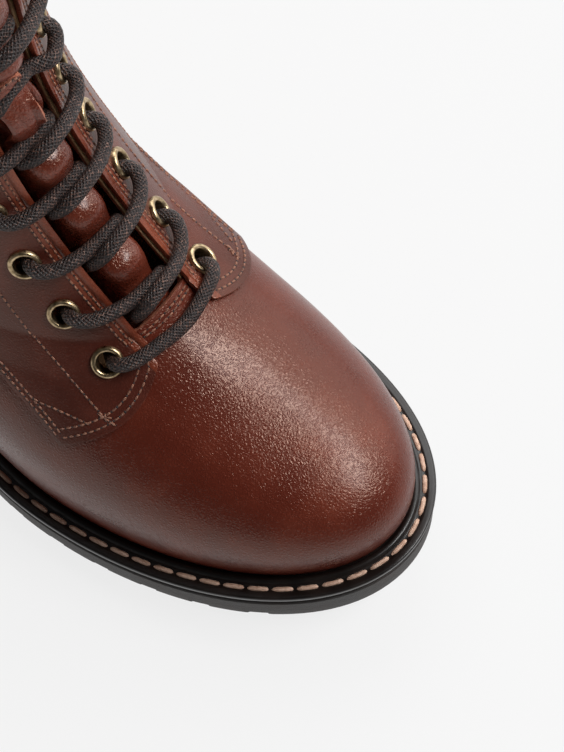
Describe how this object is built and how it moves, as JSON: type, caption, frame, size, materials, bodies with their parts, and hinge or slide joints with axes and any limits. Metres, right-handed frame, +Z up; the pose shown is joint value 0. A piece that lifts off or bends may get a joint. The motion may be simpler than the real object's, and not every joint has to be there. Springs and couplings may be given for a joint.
{
  "type": "lace up ankle boot",
  "caption": "Round-toed lace-up ankle boot with burnished leather upper, eyestays, brass eyelets, waxed laces, stitched welt and lugged rubber sole; right foot.",
  "frame": {"origin": "middle of the heel's flat bottom, on the floor", "axes": "+X from heel to toe, +Y towards the wearer's left (the big toe side), +Z up"},
  "size_m": [0.278, 0.105, 0.2088],
  "materials": {
    "upper_leather": "burnished pebbled leather, satin gloss",
    "eyestay_leather": "burnished smooth leather, pale cut edges",
    "tongue_leather": "soft pebbled leather over padding",
    "insole_leather": "natural lining leather, matt",
    "outsole_rubber": "moulded black rubber, matt",
    "welt_rubber": "moulded black strip, glossy",
    "eyelet_brass": "antiqued brass",
    "lace_cord": "waxed round braid",
    "stitch_thread": "waxed twisted thread"
  },
  "bodies": {
    "root": {"outsole": "outsole_rubber", "welt": "welt_rubber", "insole": "insole_leather", "upper": "upper_leather", "eyestay_lateral": "eyestay_leather", "eyestay_medial": "eyestay_leather", "tongue": "tongue_leather", "tongue_loop": "tongue_leather", "laces": "lace_cord", "eyelet_lateral_1": "eyelet_brass", "eyelet_lateral_2": "eyelet_brass", "eyelet_lateral_3": "eyelet_brass", "eyelet_lateral_4": "eyelet_brass", "eyelet_lateral_5": "eyelet_brass", "eyelet_lateral_6": "eyelet_brass", "eyelet_lateral_7": "eyelet_brass", "eyelet_medial_1": "eyelet_brass", "eyelet_medial_2": "eyelet_brass", "eyelet_medial_3": "eyelet_brass", "eyelet_medial_4": "eyelet_brass", "eyelet_medial_5": "eyelet_brass", "eyelet_medial_6": "eyelet_brass", "eyelet_medial_7": "eyelet_brass"}
  },
  "joints": []
}
